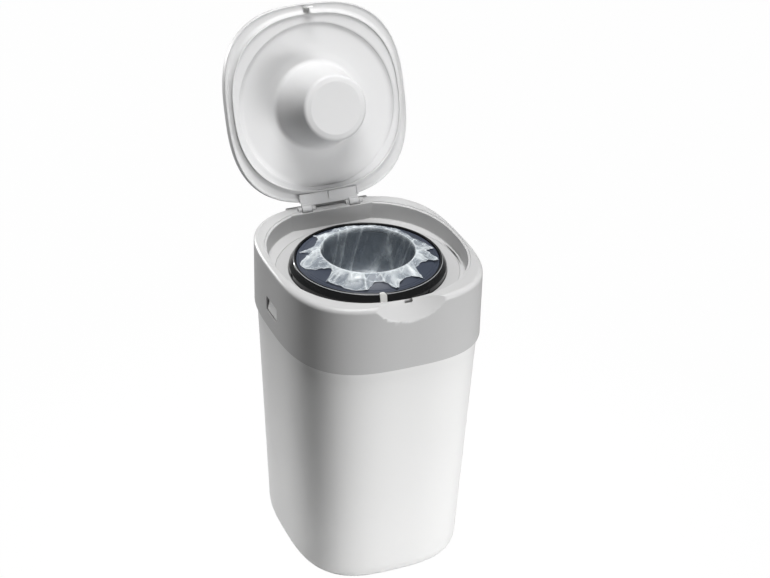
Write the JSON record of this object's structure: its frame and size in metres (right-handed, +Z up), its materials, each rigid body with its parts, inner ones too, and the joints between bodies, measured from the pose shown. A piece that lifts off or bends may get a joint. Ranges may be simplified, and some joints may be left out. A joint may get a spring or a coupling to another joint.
{
  "type": "nappy bin",
  "caption": "Free-standing bin for used nappies: a squircle tub under a lift-off collar with a film cassette on a turntable, a flexible clamp and a hinged lid with a plunger.",
  "frame": {"origin": "on the floor under the middle of the collar's outline, on the underside of the tub", "axes": "+Z up, the front with the finger dish towards -Y, the hinge at the back towards +Y, +X to the right seen from the front"},
  "size_m": [0.24, 0.3493, 0.6187],
  "materials": {
    "white_plastic": "smooth white moulded plastic, satin",
    "grey_plastic": "smooth mid-grey moulded plastic, satin",
    "pale_plastic": "pale grey moulded plastic",
    "liner_plastic": "pale grey moulded plastic, slightly translucent",
    "clamp_plastic": "flexible pale plastic",
    "black_plastic": "glossy black moulded plastic",
    "tab_plastic": "cream moulded plastic",
    "cassette_plastic": "dark blue-grey translucent moulded plastic",
    "film": "thin crumpled translucent film",
    "seal_rubber": "soft pale seal",
    "rubber": "dark non-slip rubber",
    "screw_steel": "plated steel"
  },
  "bodies": {
    "tub": {"tub": "white_plastic", "foot_pads": "rubber"},
    "left_tongue": {"release_tongue_left": "white_plastic"},
    "right_tongue": {"release_tongue_right": "white_plastic"},
    "top_unit": {"collar": "grey_plastic", "deck_plate": "pale_plastic", "cassette_housing": "pale_plastic", "deck_screws": "screw_steel", "film_clamp": "clamp_plastic", "clamp_retainer": "grey_plastic", "clamp_screws": "screw_steel", "click_springs": "white_plastic", "hinge_pins": "screw_steel"},
    "turntable": {"turntable": "black_plastic", "ratchet_ring": "black_plastic", "index_tab": "tab_plastic"},
    "cassette": {"cassette_cup": "cassette_plastic", "cassette_cover": "cassette_plastic", "film_pack": "film", "film_sleeve": "film"},
    "lid": {"lid_shell": "liner_plastic", "lid_liner": "liner_plastic", "lid_plunger": "liner_plastic", "lid_seal": "seal_rubber", "lid_catch": "liner_plastic", "hinge_leaf": "liner_plastic"}
  },
  "joints": [
    {"name": "lid_hinge", "type": "hinge", "parent": "top_unit", "child": "lid", "pos_m": [0, 0.118, 0.389], "axis": [1, 0, 0], "range_deg": [0, 110]},
    {"name": "turntable_spin", "type": "hinge", "parent": "top_unit", "child": "turntable", "pos_m": [0, -0.0035, 0.366], "axis": [0, 0, 1], "continuous": true, "deforming": ["click_springs"]},
    {"name": "cassette_lift", "type": "slide", "parent": "turntable", "child": "cassette", "axis": [0, 0, -1], "range_m": [-0.1, 0]},
    {"name": "top_unit_lift", "type": "slide", "parent": "tub", "child": "top_unit", "axis": [0, 0, 1], "range_m": [0, 0.15], "deforming": ["release_tongue_left", "release_tongue_right"]},
    {"name": "left_tongue_press", "type": "hinge", "parent": "tub", "child": "left_tongue", "pos_m": [-0.1158, -0.005, 0.3484], "axis": [0, -1, 0], "range_deg": [0, 6], "stiffness_Nm_per_rad": 1.5},
    {"name": "right_tongue_press", "type": "hinge", "parent": "tub", "child": "right_tongue", "pos_m": [0.1158, -0.005, 0.3484], "axis": [0, 1, 0], "range_deg": [0, 6], "stiffness_Nm_per_rad": 1.5}
  ]
}
